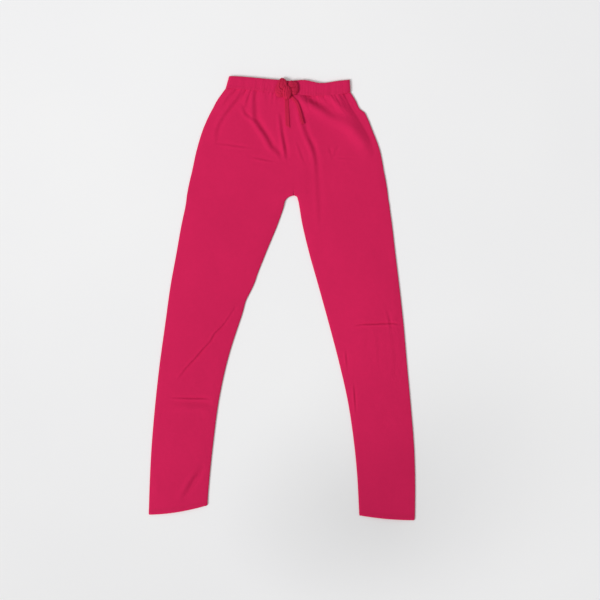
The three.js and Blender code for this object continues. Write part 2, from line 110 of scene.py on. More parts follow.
def bumps(position, centres, reach):
    """1 at each of the centres, falling to 0 a few reaches away."""
    return sum(np.exp(-(((position - centre) / reach) ** 2)) for centre in centres)


def add_object(name, data):
    thing = bpy.data.objects.new(name, data)
    bpy.context.scene.collection.objects.link(thing)
    return thing


# --- camera, straight above as in the photograph ---
PIXEL = 2.17  # mm of floor in a pixel of the photograph
PHOTO_PIXELS = 600
PHOTO_MIDDLE = (39.4, -3.8)
CAMERA_HEIGHT = 2400
CLOTH_HEIGHT = 4
SENSOR_WIDTH = 36
camera_data = bpy.data.cameras.new("camera")
camera_data.sensor_width = SENSOR_WIDTH
camera_data.lens = SENSOR_WIDTH * (CAMERA_HEIGHT - CLOTH_HEIGHT) / (PHOTO_PIXELS * PIXEL)
camera = add_object("camera", camera_data)
camera.location = [v * MM for v in (*PHOTO_MIDDLE, CAMERA_HEIGHT)]
bpy.context.scene.camera = camera


# --- materials ---
class Nodes:
    """A material's node tree, with short calls for the arithmetic of a knit."""

    def __init__(self, name):
        self.material = bpy.data.materials.new(name)
        self.material.use_nodes = True
        self.tree = self.material.node_tree
        self.shader = self.tree.nodes["Principled BSDF"]

    def new(self, kind, **settings):
        node = self.tree.nodes.new(kind)
        for key, value in settings.items():
            setattr(node, key, value)
        return node

    def link(self, source, target):
        self.tree.links.new(source, target)

    def math(self, operation, *values):
        node = self.new("ShaderNodeMath", operation=operation)
        for socket, value in zip(node.inputs, values):
            if isinstance(value, (int, float)):
                socket.default_value = value
            else:
                self.link(value, socket)
        return node.outputs[0]

    def noise(self, vector, scale, detail):
        node = self.new("ShaderNodeTexNoise")
        node.inputs["Scale"].default_value = scale
        node.inputs["Detail"].default_value = detail
        self.link(vector, node.inputs["Vector"])
        return node.outputs["Fac"]

    def mix(self, factor, low, high):
        node = self.new("ShaderNodeMix", data_type="RGBA")
        self.link(factor, node.inputs["Factor"])
        node.inputs["A"].default_value = (*low, 1)
        node.inputs["B"].default_value = (*high, 1)
        return node.outputs["Result"]

    def cloth_uv(self):
        """Across and along the cloth, in metres."""
        uv = self.new("ShaderNodeSeparateXYZ")
        self.link(self.new("ShaderNodeUVMap", uv_map="cloth").outputs[0], uv.inputs[0])
        return uv.outputs[0], uv.outputs[1]

    def place(self):
        return self.new("ShaderNodeTexCoord").outputs["Object"]

    def finish(self, colour, relief, strength, depth, values):
        """The base colour, a relief `depth` mm deep, and the other values of the shader."""
        bump = self.new("ShaderNodeBump")
        bump.inputs["Strength"].default_value = strength
        bump.inputs["Distance"].default_value = depth * MM
        self.link(relief, bump.inputs["Height"])
        self.link(bump.outputs[0], self.shader.inputs["Normal"])
        self.link(colour, self.shader.inputs["Base Color"])
        for name, value in values.items():
            self.shader.inputs[name].default_value = value
        return self.material


def tinted(colour, factor):
    return tuple(min(1, c * factor) for c in colour)


def knit(name, colour, wale=0.8, course=0.7):
    """A fine single jersey: columns (wales) and rows (courses) of V stitches, with soft fuzz, mottling and
    painted shade in the stitches' hollows.
    """
    n = Nodes(name)
    u, v = n.cloth_uv()
    across = n.math("MULTIPLY", u, 1 / MM / wale)
    along = n.math("MULTIPLY", v, 1 / MM / course)
    from_middle = n.math("ABSOLUTE", n.math("SUBTRACT", n.math("FRACT", across), 0.5))
    # the two legs of a V are rounded across, and rise towards the sides of their column
    leg = n.math("SUBTRACT", n.math("MULTIPLY", from_middle, 4), 1)
    leg_height = n.math("SUBTRACT", 1, n.math("MULTIPLY", leg, leg))
    slant = n.math("ADD", along, n.math("MULTIPLY", from_middle, 0.9))
    stitch = n.math("MULTIPLY_ADD", n.math("COSINE", n.math("MULTIPLY", slant, 2 * math.pi)), 0.4, 0.6)
    height = n.math("MULTIPLY", leg_height, stitch)
    place = n.place()
    fuzz = n.noise(place, scale=2600, detail=3)
    mottle = n.noise(place, scale=9, detail=4)
    slub = n.noise(place, scale=160, detail=3)
    # the stitches' crowns are painted lighter and their hollows darker (painted shade), mixed with the yarn's
    # own random slubs and mottling
    shade = n.math("MULTIPLY_ADD", slub, 0.3, n.math("MULTIPLY", height, 0.35))
    shade = n.math("MULTIPLY_ADD", mottle, 0.5, shade)
    return n.finish(
        n.mix(shade, tinted(colour, 0.86), tinted(colour, 1.1)),
        relief=n.math("MULTIPLY_ADD", fuzz, 0.35, height), strength=0.6, depth=0.25,
        values={
            "Roughness": 0.86, "Specular IOR Level": 0.08, "Sheen Weight": 0.06, "Sheen Roughness": 0.5,
            "Sheen Tint": (1, 0.15, 0.35, 1),
        },
    )


def thread(name, colour):
    """Spun sewing thread, twisted along its own length, with painted shade in the grooves of its twist."""
    n = Nodes(name)
    u, v = n.cloth_uv()
    twist_across, twist_along = 4500, 9000
    twist = n.math("ADD", n.math("MULTIPLY", u, twist_across), n.math("MULTIPLY", v, twist_along))
    ply = n.math("MULTIPLY_ADD", n.math("SINE", twist), 0.5, 0.5)
    # the grooves of the twist are painted darker: painted shade
    return n.finish(
        n.mix(ply, tinted(colour, 0.75), colour), relief=ply, strength=0.5, depth=0.08,
        values={"Roughness": 0.6, "Specular IOR Level": 0.3},
    )


def pale_floor(name, low, high):
    """A smooth pale surface with slight clouding and grain."""
    n = Nodes(name)
    place = n.place()
    return n.finish(
        n.mix(n.noise(place, scale=2.2, detail=3), low, high),
        relief=n.noise(place, scale=300, detail=3), strength=0.1, depth=0.5,
        values={"Roughness": 0.9, "Specular IOR Level": 0.1},
    )


CRIMSON = (0.65, 0.0150, 0.0950)
# the drawstring is the same jersey as CRIMSON, painted darker: painted shade for the shadowed bow and its
# tails
SHADED_STRING_RED = (0.53, 0.0147, 0.0615)
THREAD_RED = (0.56, 0.0150, 0.0800)
jersey = knit("jersey_knit", CRIMSON)
casing_jersey = knit("casing_knit", CRIMSON)
string_jersey = knit("drawstring_knit", SHADED_STRING_RED, wale=0.7, course=0.6)
stitch_thread = thread("stitch_thread", THREAD_RED)


# --- meshes ---
SHARP_ANGLE = math.radians(65)  # edges that turn more stay crisp


class Builder:
    """Collects points and faces with UVs in millimetres, and makes the Blender object in metres."""

    def __init__(self):
        self.points, self.faces, self.uvs, self.count = [], [], [], 0

    def add_points(self, points):
        """Returns the numbers of a grid's points, as a grid."""
        self.points.append(points.reshape(-1, 3))
        index = self.count + np.arange(len(self.points[-1])).reshape(points.shape[:-1])
        self.count += index.size
        return index

    def add_faces(self, index, uv):
        """index is (n, corners) and uv (n, corners, 2)."""
        self.faces.append(index)
        self.uvs.append(uv)

    def make(self, name, material, replaced=()):
        mesh = bpy.data.meshes.new(name)
        faces = [face for group in self.faces for face in group.tolist()]
        mesh.from_pydata(np.vstack(self.points) * MM, [], faces, shade_flat=False)
        uv = np.concatenate([u.ravel() for u in self.uvs]) * MM
        mesh.uv_layers.new(name="cloth").data.foreach_set("uv", uv.astype(np.float32))
        mesh.validate()
        mesh.set_sharp_from_angle(angle=SHARP_ANGLE)
        mesh.materials.append(material)
        piece = add_object(name, mesh)
        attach(piece, "root")
        if replaced:
            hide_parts(*replaced)
        return piece


def grid_faces(builder, index, uv, flip=False, rows=None, joined=True):
    """Quads over rings of points. One more column of UVs closes a ring on its first point, and one more row
    leads from the last ring to the first. Rings that aren't joined stay open. rows is the range to fill."""
    rings, columns = index.shape
    first, last = rows or (0, len(uv) - 1)
    steps = columns if joined else columns - 1
    i, j = (a.ravel() for a in np.meshgrid(np.arange(first, last), np.arange(steps), indexing="ij"))
    corners = [(i, j), (i, j + 1), (i + 1, j + 1), (i + 1, j)]
    if flip:
        corners.reverse()
    builder.add_faces(
        np.stack([index[r % rings, c % columns] for r, c in corners], 1),
        np.stack([uv[r, c] for r, c in corners], 1),
    )


def measured_uv(points):
    """UVs of rings of points in millimetres of cloth: across round the middle ring, along down one column."""
    points = np.concatenate([points, points[:, :1]], 1)
    across = length_along(points[points.shape[0] // 2])
    along = length_along(points[:, points.shape[1] // 3])
    return np.stack(np.broadcast_arrays(across[None, :], along[:, None]), -1)


def add_sweep(builder, rings, sections):
    """A tube through rings of points, closed at both ends; sections holds each ring's own flat points."""
    index = builder.add_points(rings)
    grid_faces(builder, index, measured_uv(rings))
    for ring, step in ((0, -1), (-1, 1)):
        builder.add_faces(index[ring, ::step][None], sections[ring, ::step][None])


def swept(line, sections, aside, over):
    """Flat sections set up across a line."""
    return line[:, None] + sections[..., :1] * aside[:, None] + sections[..., 1:] * over[:, None]


# --- drawstring tails, the two free cords ---
# The right one lies flat, the left one is folded lengthwise. A section is (width, thickness, slant of the
# end), and a route is [x, y, z] points.
RIGHT_TAIL_SECTION = (9, 2, 0.7)
RIGHT_TAIL = [
    [10.3, 437, 8.2], [10.6, 431, 7.9], [10.9, 423, 7.7], [11, 415, 7.6], [11.2, 407, 7.5], [11.4, 399, 7.4],
    [11.8, 391, 7.3], [12.2, 381, 7.2], [12.6, 372, 7.1],
]
LEFT_TAIL_SECTION = (6, 3, 0.4)
LEFT_TAIL = [
    [19, 437.5, 8.6], [24.5, 433, 8.9], [30, 427, 9.2], [34, 420, 9.2], [36.6, 413, 8.8], [39, 405, 8.5],
    [41.2, 397, 8.5], [43.4, 388, 8.6], [45.6, 378, 8.7],
]
TAIL_SAG = 0.5  # mm below the CAD's route, so that they lie on the cloth
TAIL_RINGS = 110
STRAP_SIDES = 28
STRAP_SQUARENESS = 0.62  # an ellipse at 1, a rectangle at 0


def strap_section(width, height, groove):
    """A flat tube of cloth pressed to a strap: full rounded edges and a slightly hollow middle."""
    angle = 2 * np.pi * (np.arange(STRAP_SIDES) + 0.5) / STRAP_SIDES
    x = np.sign(np.cos(angle)) * np.abs(np.cos(angle)) ** STRAP_SQUARENESS * width / 2
    z = np.sign(np.sin(angle)) * np.abs(np.sin(angle)) ** STRAP_SQUARENESS * height / 2
    hollow = groove * height * np.exp(-((x / (0.3 * width)) ** 2))
    return np.stack([x, z - np.sign(z) * hollow], 1)


def tail(name, route, section, tilt_range, seed):
    """A free end of the drawstring, turned about its own length from one tilt to the other."""
    strap_width, thickness, slant = section
    line = Curve(route).at(np.linspace(0, 1, TAIL_RINGS))
    length = length_along(line)[-1]
    t = np.linspace(0, 1, len(line))
    tilt = np.radians(lerp(*tilt_range, smoothstep(t, 0.1, 0.9)))[:, None]
    along = unit(np.gradient(line, axis=0))
    flat_aside = unit(np.cross([0, 0, 1], along))
    flat_over = np.cross(along, flat_aside)
    aside = flat_aside * np.cos(tilt) + flat_over * np.sin(tilt)
    over = flat_over * np.cos(tilt) - flat_aside * np.sin(tilt)
    width = lerp(0.9, 1, smoothstep(t, 0, 0.25)) * (1 + 0.05 * noise(t * 60, 0, 9, seed))
    end = np.sqrt(np.clip((1 - t) * length / 0.9, 0.12, 1))  # the cut end is rounded over
    outline = strap_section(strap_width, thickness, groove=0.12)
    sections = np.broadcast_to(outline, (len(t), *outline.shape)).copy()
    sections[..., 0] *= (width * lerp(0.93, 1, end))[:, None]
    sections[..., 1] *= end[:, None]
    wrinkles = 0.22 * noise(sections[..., 0] + 40 * seed, (t * length)[:, None], 4.5, seed)
    sections[..., 1] += wrinkles * end[:, None]
    rings = swept(line, sections, aside, over)
    rings[..., 2] -= TAIL_SAG
    cut_back = slant * sections[..., :1] * smoothstep(t, 0.7, 1)[:, None, None]
    rings = rings + cut_back * along[:, None]
    builder = Builder()
    add_sweep(builder, rings, sections)
    piece = builder.make(f"string_{name}", string_jersey, (f"bow_{name}",))


tail("tail_right", RIGHT_TAIL, RIGHT_TAIL_SECTION, tilt_range=(-4, 6), seed=3)
tail("tail_left", LEFT_TAIL, LEFT_TAIL_SECTION, tilt_range=(5, -5), seed=4)

# --- the cloth's layout, as in the CAD source ---
# Rows from the casing to the crotch: [x, y] of the right side fold, the centre seam and the left side fold,
# and the laid height.
HIP = [
    ([-122, 455], [15.5, 442], [149, 447], 6.4),
    ([-141, 429], [18, 420], [160.5, 429], 6.3),
    ([-150.5, 411.5], [19.2, 405], [169, 411.5], 6.2),
    ([-158.5, 396.5], [20.5, 390], [183, 396.5], 6),
    ([-172.5, 364], [22.5, 357.5], [197, 364], 5.7),
    ([-185.5, 320.5], [24.5, 314], [213, 320.5], 5.4),
    ([-195, 277], [25.5, 271], [221.5, 277], 5.2),
    ([-202.5, 245], [26.5, 240], [227.5, 245], 5.2),
    ([-206.5, 223], [26.5, 223], [230.5, 223], 5),
]
# Rows from the crotch to the hem: the right side fold, both inseams, the left side fold and the height.
LEGS = [
    ([-207.5, 214], [15, 219.5], [32, 220.5], [231.5, 214], 5),
    ([-209, 203.5], [7.5, 212], [35, 213], [233.5, 203.5], 5),
    ([-211.5, 190.5], [4, 198], [38, 198], [235, 190.5], 5),
    ([-218.5, 158], [-8, 163], [44, 162], [239.5, 158], 5),
    ([-230, 93], [-33.5, 101], [59, 99], [247, 93], 4.9),
    ([-242, 27.5], [-59, 37], [77, 35], [255, 27.5], 4.8),
    ([-254, -59], [-91, -49.5], [101, -51.5], [264.5, -59], 4.7),
    ([-266, -146], [-118, -135], [123.5, -137], [272, -146], 4.5),
    ([-275.5, -233], [-136.5, -220], [143, -223], [280, -233], 4.4),
    ([-283, -320], [-148, -304], [156, -309], [287, -320], 4.3),
    ([-287, -396], [-156, -378], [163.5, -385], [289.5, -396], 4.2),
    ([-289, -458], [-161, -439.5], [167.5, -460.5], [289, -470.4], 4.2),
    ([-289.5, -470], [-161, -451.5], [168, -472.5], [288.5, -482.4], 4.7),
]
CROTCH = len(HIP) - 1
HEM = len(HIP) + len(LEGS) - 1
HEM_TURN = 12  # mm of cloth turned up inside
HEIGHTS = np.array([row[-1] for row in HIP + LEGS])
SIDE_FOLD = {
    "right": Curve([row[0] for row in HIP + LEGS]),
    "left": Curve([row[2] for row in HIP] + [row[3] for row in LEGS]),
}
CENTRE_SEAM = Curve([row[1] for row in HIP])
INSEAM = {
    "right": Curve([HIP[-1][1]] + [row[1] for row in LEGS]),
    "left": Curve([HIP[-1][1]] + [row[2] for row in LEGS]),
}
HEM_BOW = {"right": 3.5, "left": 2}  # mm that the middle of a hem dips
HEM_CORNERS = {"right": (2.6, 5.5), "left": (2.6, 2.6)}  # rounding at the side fold and at the inseam
# Where an edge waves in (+) or out (-): side, edge, y, how far, and over what length.
EDGE_WAVES = [("right", "inner", -8, 2.6, 18), ("right", "inner", 34, -1, 16), ("left", "outer", 403, -2, 6)]
WAIST_EASE = 3  # rows below the casing in which the panels turn to follow its seam
EDGE_HEIGHT = 2.5
FOLD_INSET = 3
FOLD_CALM = 14  # mm from a side fold in which the creases die out
HEIGHT_MIN, HEIGHT_MAX = 2.3, 10
CLOSING_RANGE = (-6, 48)  # mm below the crotch over which the panel closes to a tube
# [x, y of the casing's top edge, y of its seam]
CASING_EDGES = np.array([
    [-122, 482.5, 456], [-94, 481.5, 453.5], [-63, 479, 451], [-20, 475, 446], [15, 472, 442.5],
    [50, 473.5, 440], [85, 467, 439], [120, 471.5, 441.5], [149, 474.5, 447.5],
])
TOP_EDGE, SEAM = 1, 2  # columns of this table
CASING_TOP_ENDS = (-114.5, 147.5)
CASING_SEAM_ENDS = (-122, 149)


def smooth_y(column, x):
    """A smooth y(x) through a column of the casing's table."""
    xs, ys = CASING_EDGES[:, 0], CASING_EDGES[:, column]
    last = len(xs) - 1
    padded = np.pad(CASING_EDGES, ((1, 1), (0, 0)), mode="edge")
    slopes = (padded[2:, column] - padded[:-2, column]) / (padded[2:, 0] - padded[:-2, 0])
    i = np.clip(np.searchsorted(xs, x) - 1, 0, last - 1)
    span = xs[i + 1] - xs[i]
    t = np.clip((x - xs[i]) / span, 0, 1)
    bend = t * (1 - t) * ((1 - t) * slopes[i] - t * slopes[i + 1]) * span
    return ys[i] + (ys[i + 1] - ys[i]) * t * t * (3 - 2 * t) + bend


# --- creases, placed from the photograph ---
# Each is a ridge with a trough on the left-hand side of its path: (width, [[x, y, rise], ...]).
FRONT_FOLDS = [
    # gathers and folds of the hips
    (4, [[-102, 452, 1.2], [-121, 431, 0.9], [-131, 418, 0.1]]),
    (4.5, [[-81, 452, 1.4], [-111, 415, 1.5], [-128, 392, 1.1], [-140, 368, 0.8], [-144, 336, 0.1]]),
    (4, [[-69, 452, 0.9], [-76, 426, 1.1], [-81, 414, 0.1]]),
    (3.5, [[-86, 418, 0.3], [-79, 400, 0.9], [-61, 386, 0.7]]),
    (3.5, [[-37, 448, 0.7], [-35, 427, 0.1]]),
    (3.5, [[51, 425, 0.7], [63, 401, 0.1]]),
    (6, [[84, 441, 0.9], [108, 417, 1.1], [128, 400, 0.3]]),
    (6, [[105, 441, 1], [124, 421, 1.1], [138, 404, 0.2]]),
    (5.5, [
        [-61, 452, 1.3], [-60, 416, 1.3], [-58, 389, 1.8], [-49, 373, 2.2], [-34, 351, 2.2], [-22, 329, 1.7],
        [0, 307, 0.3],
    ]),
    (3.6, [[-4, 396, 0.6], [0, 361, 1.5], [7, 321, 1.9], [9, 306, 0.8]]),
    (5, [
        [38, 410, 0.5], [43, 386, 1.3], [55, 351, 1.3], [65, 330, 2], [72, 305, 1.3], [76, 258, 0.5],
        [79, 208, 0.5], [82, 148, 0.1],
    ]),
    (10, [
        [38, 446, 1.3], [59, 430, 2.6], [82, 418, 3], [108, 399, 2.8], [136, 386, 1.8], [163, 364, 1.2],
        [184, 338, 0.9], [197, 306, 0.2],
    ]),
    (7, [[44, 438, 0.5], [57, 429, 1.5], [71, 421, 1.4], [86, 411, 0.2]]),
    (17, [
        [129, 449, 2], [138, 428, 3.7], [152, 405, 4.4], [171, 380, 4.4], [189, 352, 3.3], [200, 331, 0.7],
    ]),
    (6, [[-177, -369, 0.5], [-194, -395, 1.9], [-216, -429, 0.8]]),
    # the sharp slanting crease of the right shin
    (2.2, [
        [-103, -21, 0.4], [-124, -53, 0.9], [-134, -64.5, 1.5], [-144.6, -74.5, 1.2], [-156, -93.5, 1.1],
        [-169, -107.7, 1.5], [-187, -128.6, 1.5], [-204, -147, 1.2], [-217, -162.5, 0.7], [-228, -176.5, 0.1],
    ]),
    # packing creases across the hips
    (2.4, [[-150, 336.5, 0.05], [-122, 333, 0.5], [-90, 328, 0.6], [-64, 325, 0.1]]),
    (2.4, [[-67, 304.6, 0.1], [-44, 301, 0.8], [-24, 297, 0.4]]),
    (2.4, [[119, 303.5, 0.05], [140, 302.5, 0.3], [162, 304, 0.05]]),
    (3, [[100, 331, 0.1], [104, 316, 0.4], [108, 304, 0.1]]),
    (3, [[121, 331, 0.1], [114, 316, 0.4], [109, 304, 0.1]]),
    # below the bow, towards the crotch
    (3, [[34, 334, 0.3], [41, 312, 0.5], [49, 290, 0.1]]),
    (3, [[-13, 335, 0.1], [-9, 315, 0.3], [-4, 300, 0.1]]),
    # packing creases across the shins
    (2, [[-245, -216, 0.1], [-225, -217, 0.9], [-200, -218, 1.8], [-178, -218, 1.8], [-160, -218.5, 0.5]]),
    (8, [[-240, -231, 0.1], [-205, -231, 0.9], [-165, -233, 0.9], [-150, -233, 0.1]]),
    (2, [
        [157, -62.5, 0.1], [170, -58, 1.2], [195, -57, 1.7], [217, -56, 1.7], [242, -55.5, 1.1],
        [258, -57.8, 0.1],
    ]),
    (3, [[225, -21, 0.1], [230, -38, 0.4], [233.5, -55, 0.6], [235, -72, 0.1]]),
    (5, [[180, -72, 0.05], [180, -100, 0.12], [181, -130, 0.02]]),
    (5, [[205, -66, 0.05], [208, -110, 0.16], [206, -170, 0.02]]),
    (5, [[238, -70, 0.05], [243, -120, 0.22], [240, -190, 0.05]]),
    # the inseam rolled a little to the front
    (2, [[138, -112, 0.1], [139.5, -130, 0.8], [142, -156, 0.1]]),
    (2, [[155.5, -186, 0.1], [157.5, -212, 1.1], [159.5, -246, 0.3]]),
    (3, [[-142, -212, 0.05], [-146, -236, 0.3], [-149, -262, 0.05]]),
]
BACK_FOLDS = [
    (5, [[-96, 450, 1.1], [-112, 424, 0.9], [-124, 396, 0.2]]),
    (4.5, [[-48, 448, 1.1], [-52, 418, 1], [-42, 384, 0.6], [-28, 352, 0.1]]),
    (4, [[-8, 444, 0.8], [-4, 424, 0.2]]),
    (4.5, [[44, 440, 1], [52, 408, 1.1], [48, 372, 0.7], [38, 330, 0.1]]),
    (5, [[86, 440, 1.1], [106, 412, 1], [128, 380, 0.7], [140, 344, 0.1]]),
    (4, [[122, 444, 0.9], [140, 420, 0.6], [152, 398, 0.1]]),
    (6, [[-30, 268, 0.1], [-62, 244, 0.8], [-104, 232, 0.6], [-140, 226, 0.1]]),
    (6, [[74, 262, 0.1], [106, 240, 0.8], [150, 230, 0.5], [182, 226, 0.1]]),
    (3, [[-108, -28, 0.1], [-158, -92, 0.6], [-206, -150, 0.1]]),
    (3, [[-160, -219, 0.1], [-205, -217, 0.6], [-246, -216, 0.1]]),
    (3, [[262, -54, 0.1], [212, -57, 0.6], [160, -61, 0.1]]),
    (5, [[150, -180, 0.1], [168, -214, 0.5], [176, -262, 0.1]]),
]


FOLD_STEPS = 4  # straight pieces between two points of a crease's path
FOLD_REACH = 4.5  # widths from its path at which a crease has died out


def fold_heights(folds, x, y):
    """What the creases add to the height at the points (x, y)."""
    total = np.zeros(x.shape)
    for width, path in folds:
        points = Curve(path).at(np.linspace(0, 1, FOLD_STEPS * (len(path) - 1) + 1))
        reach = FOLD_REACH * width
        low, high = points.min(0) - reach, points.max(0) + reach
        near = (x > low[0]) & (x < high[0]) & (y > low[1]) & (y < high[1])
        px, py = x[near], y[near]
        best = np.full(px.shape, np.inf)
        across, beyond, rise = np.zeros((3, *px.shape))
        for a, b in zip(points[:-1], points[1:]):
            length = math.hypot(*(b - a)[:2])
            tx, ty = (b - a)[:2] / length
            along = (px - a[0]) * tx + (py - a[1]) * ty
            inside = np.clip(along, 0, length)
            aside = (py - a[1]) * tx - (px - a[0]) * ty
            distance = np.hypot(aside, along - inside)
            here = (distance, aside / width, (along - inside) / width, lerp(a[2], b[2], inside / length))
            best, across, beyond, rise = np.where(distance < best, here, (best, across, beyond, rise))
        total[near] -= rise * across * np.exp(0.5 - 0.5 * across**2 - 0.5 * beyond**2)
    return total


def nearness(route, x, y, width):
    """1 on a route of points, falling to 0 a few widths away from it."""
    distance = np.full(x.shape, np.inf)
    for a, b in zip(route[:-1, :2], route[1:, :2]):
        run = b - a
        share = np.clip(((x - a[0]) * run[0] + (y - a[1]) * run[1]) / (run @ run), 0, 1)
        distance = np.minimum(distance, np.hypot(x - a[0] - share * run[0], y - a[1] - share * run[1]))
    return np.exp(-((distance / width) ** 2))


def cloth_unrest(x, y, seed):
    """Soft unevenness of cloth that was smoothed out by hand."""
    broad = 0.34 * noise(x, y * 0.55, 46, seed) + 0.2 * noise(x, y * 0.7, 23, seed + 1)
    return broad + 0.07 * noise(x, y, 9, seed + 2)


def gathers(x_top, below, seed):
    """Fine gathers that a seam's easing leaves below it, running with the cloth's threads."""
    reach = 15 + 9 * noise(x_top, 0, 17, seed)
    phase = x_top / 7.6 + 0.8 * noise(x_top, 0, 13, seed + 1)
    fade = np.exp(-((np.maximum(below, 0) / reach) ** 1.3))
    size = 0.45 + 0.3 * noise(x_top, 0, 21, seed + 2)
    return size * fade * np.cos(2 * np.pi * phase)


# --- leg panels ---
FRONT_COLUMNS = 84
BACK_COLUMNS = 27
SIDE_POINTS = 6
SEAM_POINTS = 2
WALL = 0.9
HIP_ROWS = 144
LEG_ROWS = 430
SPACING_SAMPLES = 600
HEM_STITCH_ROWS = (10.6, 7.8)  # mm above the edge of the hem
SEAM_DIP = 0.25  # mm that the front is drawn down along the casing's seam
BACK_LIFT_MAX = 1.4
SLIT_ROWS = 0.7  # rows above the crotch in which the panels round apart
GROOVE_ROWS = (0.9, 0.2)  # rows above the crotch between which the centre seam deepens
DOWN, UP = (0.0, 0.0, -1.0), (0.0, 0.0, 1.0)


def side_round(edge, inward, low, high, inset, count):
    """Points round a side fold from the front to the back, and their inward directions. edge and inward are
    [x, y] for each row, and low and high the heights of the back and the front beside it."""
    points, directions = [], []
    for angle in np.pi * (np.arange(count) + 1) / (count + 1):
        level = lerp(low, high, (1 + math.cos(angle)) / 2)
        points.append(np.column_stack([edge + inward * inset * (1 - math.sin(angle)), level]))
        directions.append(np.column_stack([inward * math.sin(angle), 0 * level - math.cos(angle)]))
    return np.stack(points, 1), np.stack(directions, 1)


def edge_at(side, which, k):
    turn = 1 if (side == "right") == (which == "outer") else -1

    def curve(s):
        if which == "outer":
            return SIDE_FOLD[side].at(s / HEM)
        hip = CENTRE_SEAM.at(s / CROTCH)
        leg = INSEAM[side].at((s - CROTCH) / (HEM - CROTCH))
        return np.where((s <= CROTCH)[..., None], hip, leg)

    point = curve(k)
    step = 0.2 + 0.5 * np.exp(-(((k - CROTCH) / 0.8) ** 2))  # wider where the seam turns into the inseams
    run = unit(curve(np.minimum(k + step, HEM)) - curve(np.maximum(k - step, 0)))
    inward = np.stack([-turn * run[:, 1], turn * run[:, 0]], 1)
    for wave_side, wave_edge, y, depth, reach in EDGE_WAVES:
        if (wave_side, wave_edge) == (side, which):
            point = point + inward * depth * bumps(point[:, 1:], (y,), reach)
    return point, inward


def hem_rounding(k, radius):
    """How far an edge is set in at row k by the rounded corner of its hem."""
    corner = np.clip(1 - (HEM - k) * HEM_TURN / radius, 0, 1)
    return radius * (1 - np.sqrt(1 - corner**2))[:, None]


def leg_plan(side, k, q):
    """The front of a panel seen from above: [x, y] at rows k and columns q, from 0 at the inner edge to 1 at
    the side fold, and the edges with their inward directions."""
    outer, outer_in = edge_at(side, "outer", k)
    inner, inner_in = edge_at(side, "inner", k)
    outer = outer + outer_in * hem_rounding(k, HEM_CORNERS[side][0])
    inner = inner + inner_in * hem_rounding(k, HEM_CORNERS[side][1])
    start, end = inner + inner_in * FOLD_INSET, outer + outer_in * FOLD_INSET
    plan = lerp(start[:, None], end[:, None], q[None, :, None])
    plan[..., 1] -= 4 * q * (1 - q) * HEM_BOW[side] * smoothstep(k, HEM - 2.5, HEM)[:, None]
    return plan, outer, outer_in, inner, inner_in


def spaced_rows(side, first, last, count):
    """Row numbers from first to last that lie evenly down the middle of the panel."""
    k = np.linspace(first, last, SPACING_SAMPLES)
    run = length_along(leg_plan(side, k, np.array([0.5]))[0][:, 0])
    return np.interp(np.linspace(0, run[-1], count), run, k)


def resampled(q, q_old, grid):
    return np.stack([np.interp(q, q_old, line) for line in grid])


